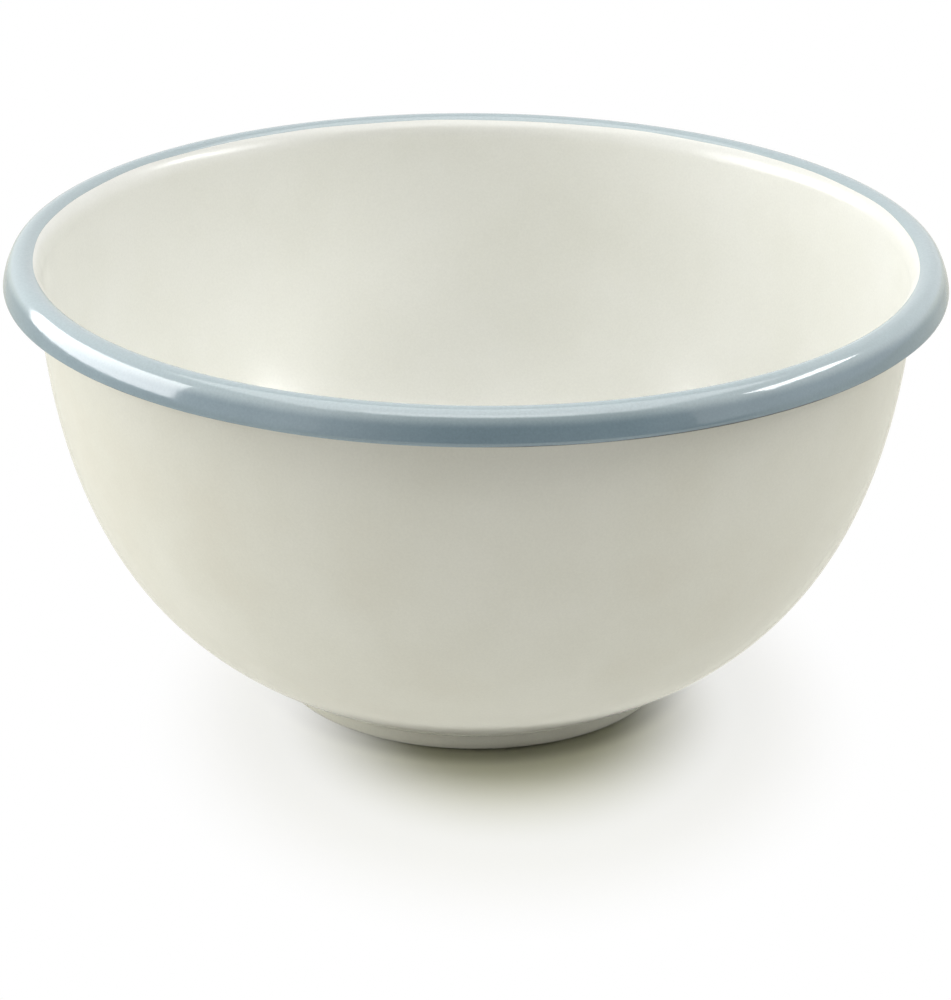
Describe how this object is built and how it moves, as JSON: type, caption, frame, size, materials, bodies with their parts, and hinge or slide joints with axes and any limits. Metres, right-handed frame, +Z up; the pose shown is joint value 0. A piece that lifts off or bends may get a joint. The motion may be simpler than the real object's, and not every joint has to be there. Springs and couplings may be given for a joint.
{
  "type": "enamelled mixing bowl",
  "caption": "Deep round mixing bowl of pressed sheet steel with a stepped foot, a rolled rim, cream enamel inside and outside and a pale blue enamel rim.",
  "frame": {"origin": "middle of the foot's standing plane, on the bowl's axis", "axes": "+Z up along the bowl's axis; X and Y are any two directions across the rim"},
  "size_m": [0.26, 0.26, 0.1285],
  "materials": {
    "sheet_steel": "rolled, under the enamel",
    "ground_enamel": "gloss, fired",
    "cream_enamel": "gloss, fired",
    "blue_enamel": "gloss, fired"
  },
  "bodies": {
    "root": {"steel_pressing": "sheet_steel", "inner_ground_coat": "ground_enamel", "outer_ground_coat": "ground_enamel", "inner_cream_coat": "cream_enamel", "rim_blue_coat": "blue_enamel", "outer_cream_coat": "cream_enamel"}
  },
  "joints": []
}
